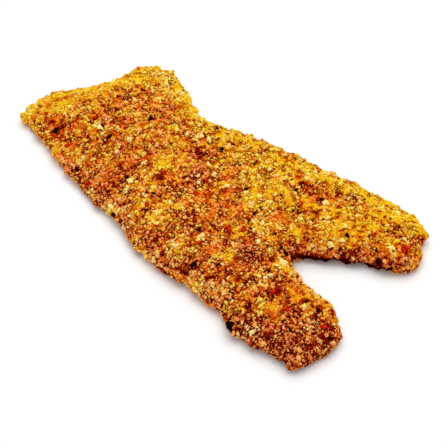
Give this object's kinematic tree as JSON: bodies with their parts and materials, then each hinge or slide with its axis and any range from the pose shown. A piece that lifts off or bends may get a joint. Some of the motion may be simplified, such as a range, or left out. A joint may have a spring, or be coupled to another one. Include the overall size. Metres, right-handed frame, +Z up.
{
  "type": "fried fish fillet",
  "caption": "Crumb-coated fried fish fillet, a flat craggy slab that forks into a thick loin lobe and a thinner flap lobe.",
  "frame": {"origin": "under the middle of the fillet's box, on the surface that it lies on", "axes": "+X along the fillet from the tail end to the fork, +Y across it to the back edge that the flap lobe lies on, +Z up"},
  "size_m": [0.2052, 0.106, 0.0146],
  "materials": {
    "fried_crust": "golden-brown fried batter between the crumbs, lightly oily",
    "pale_crumb": "dry, matt straw to cream breadcrumb",
    "golden_crumb": "fried golden to amber breadcrumb, lightly oily",
    "brown_crumb": "well-fried russet to red-brown breadcrumb, lightly oily",
    "burnt_crumb": "near-black burnt breadcrumb and pepper fleck"
  },
  "bodies": {
    "root": {"fish_fillet": "fried_crust"}
  },
  "joints": []
}
